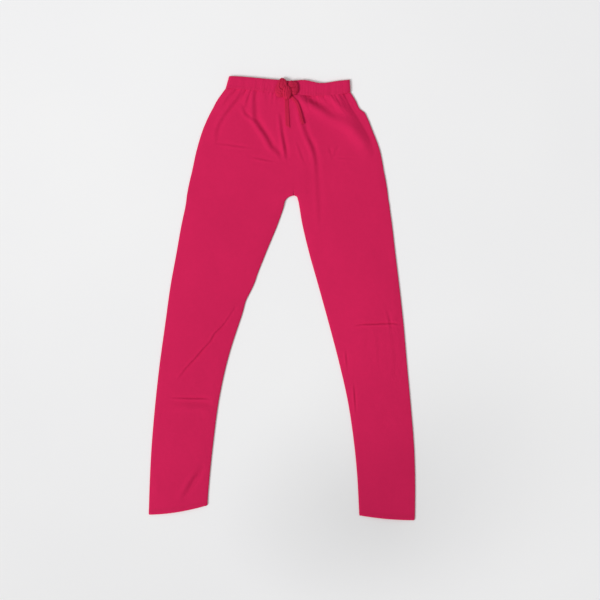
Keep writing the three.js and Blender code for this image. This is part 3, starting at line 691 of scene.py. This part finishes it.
def leg_surface(side):
    """The outer face of a panel as a grid of rows by points round it, with inward directions and the wall."""
    rows = np.concatenate([
        spaced_rows(side, 0, CROTCH, HIP_ROWS + 1)[:-1],
        spaced_rows(side, CROTCH, HEM - 0.07, LEG_ROWS + 1),
    ])
    top_row = np.array([0.0])
    q_front = np.linspace(0, 1, FRONT_COLUMNS)
    q_back = np.linspace(0, 1, BACK_COLUMNS)
    front, outer, outer_in, inner, inner_in = leg_plan(side, rows, q_front)
    front_top, outer_top, _, inner_top, _ = leg_plan(side, top_row, q_front)
    back, back_top = leg_plan(side, rows, q_back)[0], leg_plan(side, top_row, q_back)[0]
    # at the waist all of it follows the casing's seam, by how far off its threads meet it
    for points, tops in ((front, front_top), (back, back_top), (outer, outer_top), (inner, inner_top)):
        ease = np.maximum(0, 1 - rows / WAIST_EASE) ** 2
        ease = ease.reshape([-1] + [1] * (points.ndim - 2))
        points[..., 1] += ease * (smooth_y(SEAM, tops[..., 0]) - tops[..., 1])

    k = rows[:, None]
    down_panel = length_along(front[:, FRONT_COLUMNS // 2])
    closing = smoothstep(down_panel - down_panel[HIP_ROWS], *CLOSING_RANGE)[:, None]
    base_height = np.interp(rows, np.arange(HEM + 1), HEIGHTS)[:, None]
    width = np.abs(outer[:, :1] - inner[:, :1])

    def dome_at(q):
        return lerp(np.cos(np.pi / 2 * q) ** 0.6, np.maximum(np.sin(np.pi * q), 0) ** 0.7, closing)

    def calm_at(q):
        """0 at the side fold and at a closed inner edge, and 1 where creases are at their full height."""
        from_side = (1 - q) * width
        from_inner = q * width + FOLD_CALM * (1 - closing)
        return smoothstep(from_side, 0, FOLD_CALM) * smoothstep(from_inner, 0, FOLD_CALM)

    fx, fy = front[..., 0], front[..., 1]
    q = q_front[None]
    below = smooth_y(SEAM, front_top[..., 0]) - fy
    hem_up = (HEM - k) * HEM_TURN
    in_hem = 1 - smoothstep(hem_up, 0.2, 3)
    details = fold_heights(FRONT_FOLDS, fx, fy) + cloth_unrest(fx, fy, 20) * smoothstep(below, 0, 20)
    details += gathers(front_top[..., 0], below, 40)
    for route in (RIGHT_TAIL, LEFT_TAIL):
        details += 0.4 * nearness(np.array(route), fx, fy, 8)
    z = lerp(EDGE_HEIGHT, base_height, dome_at(q)) + calm_at(q) * details
    z -= SEAM_DIP * bumps(below, (0,), 1.3)
    # the turned hem: a slight step where its inside edge shows through, grooves along the stitches, and tucks
    z += 0.25 * smoothstep(HEM_TURN - hem_up, -0.8, 0.8) * (1 - in_hem) - 0.3 * in_hem
    z -= 0.22 * bumps(hem_up, HEM_STITCH_ROWS, 0.6)
    tucks = np.cos(2 * np.pi * (q * width) / 6.5 + noise(q * width, 0, 20, 9))
    z += 0.1 * tucks * bumps(hem_up, (9,), 3.4)
    front_z = np.clip(z, HEIGHT_MIN, HEIGHT_MAX)

    bx, by = back[..., 0], back[..., 1]
    q = q_back[None]
    back_below = smooth_y(SEAM, back_top[..., 0]) - by
    lifts = np.abs(fold_heights(BACK_FOLDS, bx, by)) + 0.28 * np.maximum(noise(bx, by * 0.6, 34, 60), 0)
    lifts += 0.6 * np.maximum(gathers(back_top[..., 0], back_below, 70), 0)
    lifts = calm_at(q) * lifts + 0.8 * bumps(back_below, (0,), 1.5)
    lifts += 0.3 * bumps(hem_up, HEM_STITCH_ROWS, 0.7)
    back_z = np.clip(lifts, 0, np.minimum(BACK_LIFT_MAX, 0.3 * resampled(q_back, q_front, front_z)))

    # the wall, thinner where the layers lie close, and double in the hem
    limit = 0.45 * (front_z - resampled(q_front, q_back, back_z))
    wall_rows = lerp(WALL, 2 * WALL, smoothstep(HEM_TURN - hem_up, -0.5, 0.5))

    # the inner edge is a shallow groove, the centre seam, above the crotch and rounds over below it
    closed = smoothstep(k, CROTCH - SLIT_ROWS, CROTCH)
    deepening = smoothstep(k, *(CROTCH - above for above in GROOVE_ROWS))
    groove = lerp(0.04, 0.35, deepening) + 0.03 * noise(0, inner[:, 1:], 14, 5)

    def seam_side(top):
        edge_z = front_z[:, :1] if top else back_z[:, :1]
        middle = (front_z[:, :1] + back_z[:, :1]) / 2
        points, directions = [], []
        for i in range(SEAM_POINTS):
            angle = np.pi / 2 * (i + 0.5) / (SEAM_POINTS + 0.5)
            round_inset = FOLD_INSET * (1 - np.cos(angle))
            round_z = lerp(middle, edge_z, np.sin(angle))
            open_inset = FOLD_INSET * i / SEAM_POINTS
            sink = groove * (1 - i / SEAM_POINTS) ** 2
            open_z = edge_z + (-sink if top else np.minimum(sink, 0.3))
            inset = lerp(open_inset, round_inset, closed)
            points.append(np.concatenate([inner + inner_in * inset, lerp(open_z, round_z, closed)], 1))
            sideways = closed * np.cos(angle)
            vertical = (-1 if top else 1) * np.sqrt(1 - sideways**2)
            directions.append(np.concatenate([inner_in * sideways, vertical], 1))
        return np.stack(points, 1), np.stack(directions, 1)

    top_points, top_inwards = seam_side(True)
    low_points, low_inwards = seam_side(False)
    side_points, side_inwards = side_round(
        outer, outer_in, back_z[:, -1], front_z[:, -1], FOLD_INSET, SIDE_POINTS,
    )
    down, up = np.full(front_z.shape + (3,), DOWN), np.full(back_z.shape + (3,), UP)
    points = np.concatenate([
        top_points, np.dstack([front, front_z]), side_points, np.dstack([back, back_z])[:, ::-1],
        low_points[:, ::-1],
    ], 1)
    inward = np.concatenate([top_inwards, down, side_inwards, up, low_inwards[:, ::-1]], 1)
    back_limit = resampled(q_back, q_front, limit)
    seam_limit = np.repeat(limit[:, :1], SEAM_POINTS, 1)
    side_limit = np.repeat(limit[:, -1:], SIDE_POINTS, 1)
    wall = np.concatenate([seam_limit, limit, side_limit, back_limit[:, ::-1], seam_limit], 1)
    return rows, points, inward, np.minimum(wall, wall_rows)


def leg_uv(points):
    """UVs in millimetres of cloth: across from the side fold, which lies on the grain, and down."""
    ring = np.concatenate([points, points[:, :1]], 1)
    steps = np.linalg.norm(np.diff(ring, axis=1), axis=2)
    run = np.concatenate([np.zeros((len(ring), 1)), np.cumsum(steps, 1)], 1)
    fold = SEAM_POINTS + FRONT_COLUMNS + SIDE_POINTS // 2
    return np.stack([run - run[:, fold : fold + 1], -ring[..., 1]], -1)


def add_rim(builder, outer_index, inner_index, outer_uv, turn, joined=False):
    """Five-cornered faces that join two steps of the outside to one of the inside, and close a joined rim."""
    step = 1 if turn else -1
    faces, coordinates = [], []
    for p in range(len(inner_index) - 1):
        face = [*outer_index[2 * p : 2 * p + 3], inner_index[p + 1], inner_index[p]]
        spots = [*outer_uv[2 * p : 2 * p + 3], outer_uv[2 * p + 2] + WALL, outer_uv[2 * p] + WALL]
        faces.append(face[::step])
        coordinates.append(spots[::step])
    builder.add_faces(np.array(faces), np.array(coordinates))
    if joined:
        face = [outer_index[-1], outer_index[0], inner_index[0], inner_index[-1]]
        builder.add_faces(np.array([face[::step]]), np.array([[outer_uv[-1]] * 4]))


def leg_panel(side):
    rows, outside, inward, wall = leg_surface(side)
    flip = side == "left"
    crotch = HIP_ROWS
    builder = Builder()
    # the hem rounds over at its edge, from the outer face to the turned-up inside
    last_run = unit(outside[-1] - outside[-2]) * [1, 1, 0] * WALL
    roll = []
    for angle in np.pi * np.array([0.25, 0.5, 0.75]):
        set_in = inward[-1] * wall[-1][:, None] * (1 - math.cos(angle)) / 2
        roll.append(outside[-1] + set_in + last_run * math.sin(angle))
    outer = np.concatenate([outside, roll])
    uv = leg_uv(outer)
    index = builder.add_points(outer)
    grid_faces(builder, index, uv, flip, (crotch, len(index) - 1))
    grid_faces(builder, index, uv, flip, (0, crotch), joined=False)

    # the inside, at half the detail
    kept = np.unique([*range(0, len(outside), 2), len(outside) - 1])
    inner_index = builder.add_points((outside + inward * wall[..., None])[kept][:, ::2])
    inner_crotch = int(np.searchsorted(kept, crotch))
    inner_uv = uv[kept][:, [*range(0, index.shape[1], 2), -1]]
    grid_faces(builder, inner_index, inner_uv, not flip, (inner_crotch, len(kept) - 1))
    grid_faces(builder, inner_index, inner_uv, not flip, (0, inner_crotch), joined=False)

    # rims at the waist, at the hem and along the open inner edge above the crotch
    add_rim(builder, index[0], inner_index[0], uv[0], flip)
    add_rim(builder, index[-1], inner_index[-1], uv[-1], not flip, joined=True)
    seam, inner_seam, seam_uv = index[: crotch + 1], inner_index[: inner_crotch + 1], uv[: crotch + 1]
    add_rim(builder, seam[:, 0], inner_seam[:, 0], seam_uv[:, 0], not flip)
    add_rim(builder, seam[:, -1], inner_seam[:, -1], seam_uv[:, -2], flip)
    crotch_face = [seam[-1, 0], seam[-1, -1], inner_seam[-1, -1], inner_seam[-1, 0]]
    builder.add_faces(np.array([crotch_face if flip else crotch_face[::-1]]), np.array([[uv[crotch, 0]] * 4]))
    piece = builder.make(f"leg_{side}", jersey, (f"leg_panel_{side}",))
    return piece, rows, outside, inward


legs = {side: leg_panel(side) for side in ("right", "left")}

# --- waist casing ---
CASING_HEIGHT = 6.3
CASING_EDGE_HEIGHT = 5
CASING_WALL = 2
CASING_INSET = 4.2
CASING_DEPTH = 26.5
CASING_LENGTH = CASING_SEAM_ENDS[1] - CASING_SEAM_ENDS[0]
CASING_COLUMNS = 240
CASING_BACK_COLUMNS = 120
CASING_END_POINTS = 9
CASING_BACK_LIFT_MAX = 1.1
CASING_STITCH_ROWS = (0.8, 0.93)  # shares of the way from the top edge to the seam
PUCKERS = [(23, 0.35, 0.6), (14.3, 0.2, 2.1)]  # (pitch, depth, phase)
PUCKER_SHARE = 0.35  # of the CAD's depth, the rest is in the finer puckers


def casing_surface():
    """The casing's outer face from its top edge to its seam, as rows by points round it."""
    fine = np.concatenate([[0.02, 0.05], np.linspace(0.09, 0.9, 22), [0.94, 0.975, 1]])
    k = fine[:, None]

    def plan(q):
        """x and y at columns q, from the left side fold (0) to the right one (1), and the seam's x there."""
        top, seam = (
            lerp(ends[1] - CASING_INSET, ends[0] + CASING_INSET, q)[None]
            for ends in (CASING_TOP_ENDS, CASING_SEAM_ENDS)
        )
        return lerp(top, seam, k), lerp(smooth_y(TOP_EDGE, top), smooth_y(SEAM, seam), k), seam

    def calm_at(q):
        return smoothstep(np.minimum(q, 1 - q)[None] * CASING_LENGTH, 0, FOLD_CALM)

    def elastic(x, seed):
        """Puckers that the elastic draws, deeper towards the seam."""
        phase = x / 6.3 + 0.9 * noise(x, 0, 15, seed)
        size = 0.09 + 0.07 * noise(x, 0, 19, seed + 1)
        pucker = size * np.cos(2 * np.pi * phase + 1.2 * noise(x, 20 * k, 9, seed + 2))
        return pucker * lerp(0.55, 1, smoothstep(k, 0.1, 0.9))

    stitch_groove = bumps(k, CASING_STITCH_ROWS, 0.5 / CASING_DEPTH)
    at_seam = smoothstep(k, 0.94, 1)
    q = np.linspace(0, 1, CASING_COLUMNS)
    x, y, seam_x = plan(q)
    dome = np.maximum(np.sin(np.pi * q), 0)[None] ** 0.25
    wide = sum(depth * np.sin(2 * np.pi * x / pitch + phase) for pitch, depth, phase in PUCKERS)
    z = lerp(CASING_EDGE_HEIGHT, CASING_HEIGHT, dome) - 0.9 * (1 - smoothstep(k, -0.06, 0.2))
    z += calm_at(q) * (wide * PUCKER_SHARE + elastic(seam_x, 80)) + 0.12 * noise(x, y, 8, 83)
    z -= 0.2 * stitch_groove + 0.25 * at_seam

    q_back = np.linspace(0, 1, CASING_BACK_COLUMNS)
    bx, by, back_seam = plan(q_back)
    lift = 0.35 + 2.5 * elastic(back_seam, 90) + 0.3 * stitch_groove + 0.4 * at_seam
    back_z = np.clip(calm_at(q_back) * lift, 0, CASING_BACK_LIFT_MAX)

    def end(which, inward_x):
        """The round of a side fold: 0 is the right one and 1 the left one."""
        ends = [(CASING_TOP_ENDS[which], TOP_EDGE), (CASING_SEAM_ENDS[which], SEAM)]
        top, seam = (np.array([end_x, smooth_y(column, end_x)]) for end_x, column in ends)
        edge = lerp(top, seam, k)
        edge[:, 0] += inward_x * 0.15 * noise(edge[:, 1], 0, 5, 95 + which)
        inward = np.full(edge.shape, [inward_x, 0.0])
        column = which - 1  # the last one is at the right
        return side_round(edge, inward, back_z[:, column], z[:, column], CASING_INSET, CASING_END_POINTS)

    right, right_in = end(0, 1)
    left, left_in = end(1, -1)
    down, up = np.full(z.shape + (3,), DOWN), np.full(back_z.shape + (3,), UP)
    back = np.dstack([bx, by, back_z])[:, ::-1]
    points = np.concatenate([np.dstack([x, y, z]), right, back, left[:, ::-1]], 1)
    inward = np.concatenate([down, right_in, up, left_in[:, ::-1]], 1)
    return fine, points, inward


def waistband():
    fine, outside, inward = casing_surface()
    inside = outside + inward * CASING_WALL
    upward = unit(outside[0] - outside[-1])
    roll = []
    for angle in np.pi * np.arange(1, 8) / 8:
        middle = lerp(inside[0], outside[0], (1 + math.cos(angle)) / 2)
        roll.append(middle + upward * 0.55 * math.sin(angle))
    builder = Builder()
    rings = np.concatenate([outside[::-1], roll, inside])
    uv = measured_uv(rings)
    # the last row of faces is the rim along the seam, from the inside's last ring to the outside's
    uv = np.concatenate([uv, uv[:1] - [0, 3]])
    grid_faces(builder, builder.add_points(rings), uv, True)
    piece = builder.make("waist_casing", casing_jersey, ("waistband",))
    return piece, fine, outside, inward


casing, *casing_grid = waistband()


# --- stitching ---
STITCH_PITCH = 3.1
STITCH_LENGTH = 2.6
THREAD_SIZE = 0.42
THREAD_SIDES = 6
STITCH_RINGS = 7


def stitches(name, rows):
    """Separate thread stitches along closed lines of surface points; rows are (points, inward) pairs."""
    builder = Builder()
    section = circle(THREAD_SIDES) * THREAD_SIZE / 2
    steps = np.linspace(-0.5, 0.5, STITCH_RINGS)
    lift = THREAD_SIZE * (0.25 - 1.1 * (2 * np.abs(steps)) ** 3)  # its ends dive into the cloth
    taper = np.sqrt(np.clip(1 - (2 * np.abs(steps)) ** 4, 0.15, 1))
    sections = section[None] * taper[:, None, None]
    for line, inward in rows:
        loop, inner = (np.concatenate([points, points[:1]]) for points in (line, inward))
        run = length_along(loop)
        count = int(run[-1] / STITCH_PITCH)
        for i in range(count):
            at = np.mod((i + 0.5) * run[-1] / count + steps * STITCH_LENGTH, run[-1])
            points = np.stack([np.interp(at, run, loop[:, a]) for a in range(3)], 1)
            normal = -unit(np.stack([np.interp(at, run, inner[:, a]) for a in range(3)], 1))
            points = points + normal * lift[:, None]
            along = unit(np.gradient(points, axis=0))
            aside = unit(np.cross(normal, along))
            over = np.cross(along, aside)
            add_sweep(builder, swept(points, sections, aside, over), sections)
    return builder.make(name, stitch_thread)


def row_line(rows, outside, inward, k):
    """The line round a piece at row number k, between its mesh rows."""
    i = int(np.clip(np.searchsorted(rows, k) - 1, 0, len(rows) - 2))
    t = (k - rows[i]) / (rows[i + 1] - rows[i])
    return lerp(outside[i], outside[i + 1], t), lerp(inward[i], inward[i + 1], t)


for side, (piece, *leg_grid) in legs.items():
    lines = [row_line(*leg_grid, HEM - up / HEM_TURN) for up in HEM_STITCH_ROWS]
    stitches(f"hem_stitches_{side}", lines)
casing_lines = [row_line(*casing_grid, k) for k in CASING_STITCH_ROWS]
casing_stitches = stitches("casing_stitches", casing_lines)

# --- bow ---
BOW_SEAT = 6.95
# A pad's depth below its widest line for each height above it, its underside's width and how round it is.
PAD_FLAT, PAD_END, PAD_SQUARENESS = 0.72, 0.3, 0.6
KNOT_X, KNOT_Y, KNOT_WIDTH, KNOT_LENGTH, KNOT_HEIGHT = 11.5, 445.5, 20, 30, 9.5
KNOT_POINTS, LOOP_POINTS = 120, 160
LOOP_HEIGHT = 6.4
LOOP_PRESSED = 0.62  # of its height, at a loop's end
PRESSED_RANGE = (13, 30)  # mm from the knot's middle over which a loop gets flatter
LOOP_DROOP = 3  # mm that a loop's end sinks where it reaches past the casing's top edge
DROOP_RANGE = (468, 479)  # y over which it sinks
FURROW_SHARE = 0.8  # of the depths below
RIGHT_LOOP = [
    [9, 441], [1, 436.5], [-7, 435.5], [-12.5, 440.5], [-14.3, 449], [-11, 461], [-6.5, 472], [-0.5, 478],
    [6.5, 475.5], [11.5, 468.5], [11.8, 455],
]
LEFT_LOOP = [
    [15, 455], [15, 468], [19, 471.5], [27, 470.5], [33.5, 466.5], [36, 457.5], [35, 447.5], [30, 441.5],
    [22, 441],
]
# Furrows where layers of the strap meet or are drawn into the knot: (width, depth, path).
RIGHT_FURROWS = [
    (0.9, 2.4, [[7, 452], [0, 453], [-4.5, 458], [-3.5, 466], [-0.5, 471]]),
    (0.8, 1.1, [[5, 444], [-3, 443], [-10, 446]]),
    (0.7, 0.8, [[6, 448], [-2, 448.5], [-9, 453], [-9.5, 459]]),
    (0.8, 1.1, [[7, 459], [5, 466], [4.5, 473]]),
    (0.6, 0.7, [[5, 456], [2, 462], [2, 467]]),
    (0.7, 0.8, [[4, 441], [-3, 438.5], [-8, 438.5]]),
]
LEFT_FURROWS = [
    (0.9, 2.2, [[17, 454], [23, 456], [29.5, 456], [31.5, 459]]),
    (0.7, 1, [[18, 449], [25, 447.5], [31, 449.5]]),
    (0.7, 1, [[17, 460], [22, 463.5], [29, 464]]),
    (0.6, 0.7, [[19, 446], [25, 443.8]]),
    (0.6, 0.7, [[17, 464], [20.5, 468.5]]),
]
KNOT_FURROWS = [
    (0.9, 1.5, [[8.6, 431], [7.4, 438], [7.2, 446], [8.4, 453], [9.8, 460]]),
    (0.8, 1.2, [[13.4, 431], [14.6, 437], [14.8, 445], [13.6, 453], [13, 460]]),
    (0.7, 0.8, [[18, 436], [18.6, 444], [17.4, 453]]),
    (0.7, 0.9, [[4.6, 437], [3.6, 445], [4.8, 454]]),
    (0.6, 0.6, [[10.6, 434], [11.2, 441], [10.6, 447]]),
]


def furrows(lines, x, y):
    """Grooves along short paths on the bow."""
    total = np.zeros(x.shape)
    for width, depth, path in lines:
        total -= depth * nearness(Curve(path).at(np.linspace(0, 1, 6 * len(path))), x, y, width)
    return total


def pad(name, outline, height, lines, seed):
    """A pressed bundle of strap in a closed outline, with a flat underside and a rounded, furrowed top."""
    upper = height / (1 + PAD_FLAT)
    middle = outline.mean(0)
    below, above = np.linspace(-0.5, -0.1, 9), np.linspace(-0.07, 0.49, 52)
    tilt = np.pi * np.concatenate([below, above, [0.496, 0.499, 0.4999]])
    underside = np.where(tilt < 0, PAD_END, 0)
    swell = np.maximum(np.cos(tilt), underside)[:, None, None] ** PAD_SQUARENESS
    plan = middle + (outline - middle) * swell
    x, y = plan[..., 0], plan[..., 1]
    rise = np.maximum(np.sin(tilt), -PAD_FLAT)[:, None] * upper
    top = smoothstep(np.sin(tilt), -0.1, 0.45)[:, None]
    ripple = 0.35 * noise(x + 9 * seed, y, 3.4, seed) + 0.16 * noise(x, y, 1.5, seed + 1)
    relief = top * (FURROW_SHARE * furrows(lines, x, y) + ripple)
    pressed = lerp(1, LOOP_PRESSED, smoothstep(np.hypot(x - KNOT_X, y - KNOT_Y), *PRESSED_RANGE))
    z = BOW_SEAT + (PAD_FLAT * upper + rise + relief) * pressed - LOOP_DROOP * smoothstep(y, *DROOP_RANGE)
    builder = Builder()
    add_sweep(builder, np.dstack([x, y, z]), plan - middle)
    builder.make(f"string_{name}", string_jersey, (f"bow_{name}",))


def loop_outline(points):
    """The closed curve of the CAD source through a loop's points."""
    closed = Curve(points + points[:3])
    steps = len(points) + 2
    return closed.at(np.linspace(1, len(points) + 1, LOOP_POINTS + 1)[:-1] / steps)[::-1]


knot_outline = circle(KNOT_POINTS) * [KNOT_WIDTH, KNOT_LENGTH] / 2 + [KNOT_X, KNOT_Y]
pad("loop_right", loop_outline(RIGHT_LOOP), LOOP_HEIGHT, RIGHT_FURROWS, 5)
pad("loop_left", loop_outline(LEFT_LOOP), LOOP_HEIGHT, LEFT_FURROWS, 6)
pad("knot", knot_outline, KNOT_HEIGHT, KNOT_FURROWS, 31)

# --- floor and light ---
FLOOR_REACH, FLOOR_LEVEL = 6, -0.0004  # m


def stage_face(name, corners, material):
    """One face of the set."""
    mesh = bpy.data.meshes.new(name)
    mesh.from_pydata(corners, [], [range(len(corners))])
    mesh.materials.append(material)
    thing = add_object(name, mesh)
    return thing


floor_corners = [
    (x * FLOOR_REACH, y * FLOOR_REACH, FLOOR_LEVEL) for x, y in ((-1, -1), (1, -1), (1, 1), (-1, 1))
]
stage_face("floor", floor_corners, pale_floor("pale_floor", (0.86, 0.86, 0.87), (0.9, 0.9, 0.9)))


def lamp(name, kind, place, rotation, energy, **settings):
    data = bpy.data.lights.new(name, kind)
    data.energy = energy
    for key, value in settings.items():
        setattr(data, key, value)
    light = add_object(name, data)
    light.location = place
    light.rotation_euler = rotation


# a wide, low key from the wearer's right and a little from the hems, and a softbox above the upper left
KEY_ELEVATION, KEY_AZIMUTH = math.radians(36), math.radians(208)
KEY_TURN = (0, math.pi / 2 - KEY_ELEVATION, KEY_AZIMUTH)
lamp("key", "SUN", (-2, -0.7, 1.3), KEY_TURN, energy=2.40, angle=math.radians(24))
lamp("softbox", "AREA", (-0.5, 0.5, 1.3), (0, 0, 0), energy=1.6, size=0.8)

# a net in front of the key dims the floor and the leg at the lower right, as in the photograph
NET_HEIGHT = 0.5
NET_SIZE = (0.19, 0.13)
NET_CORNERS = 48
NET_LETS_THROUGH = 0.42
DIM_MIDDLE = (0.258, -0.417)  # where its shade falls
to_key = np.array([math.cos(KEY_AZIMUTH), math.sin(KEY_AZIMUTH)])
net_middle = DIM_MIDDLE + to_key * NET_HEIGHT / math.tan(KEY_ELEVATION)
net_corners = [(x, y, NET_HEIGHT) for x, y in net_middle + circle(NET_CORNERS) * NET_SIZE]
net_nodes = Nodes("net")
gauze = net_nodes.new("ShaderNodeBsdfTransparent")
gauze.inputs[0].default_value = (*[NET_LETS_THROUGH] * 3, 1)
net_nodes.link(gauze.outputs[0], net_nodes.tree.nodes["Material Output"].inputs[0])
stage_face("net", net_corners, net_nodes.material).visible_camera = False

world = bpy.data.worlds.new("studio")
world.use_nodes = True
background = world.node_tree.nodes["Background"]
background.inputs["Color"].default_value = (1, 1, 1, 1)
background.inputs["Strength"].default_value = 0.47
bpy.context.scene.world = world
bpy.context.scene.view_settings.view_transform = "Standard"
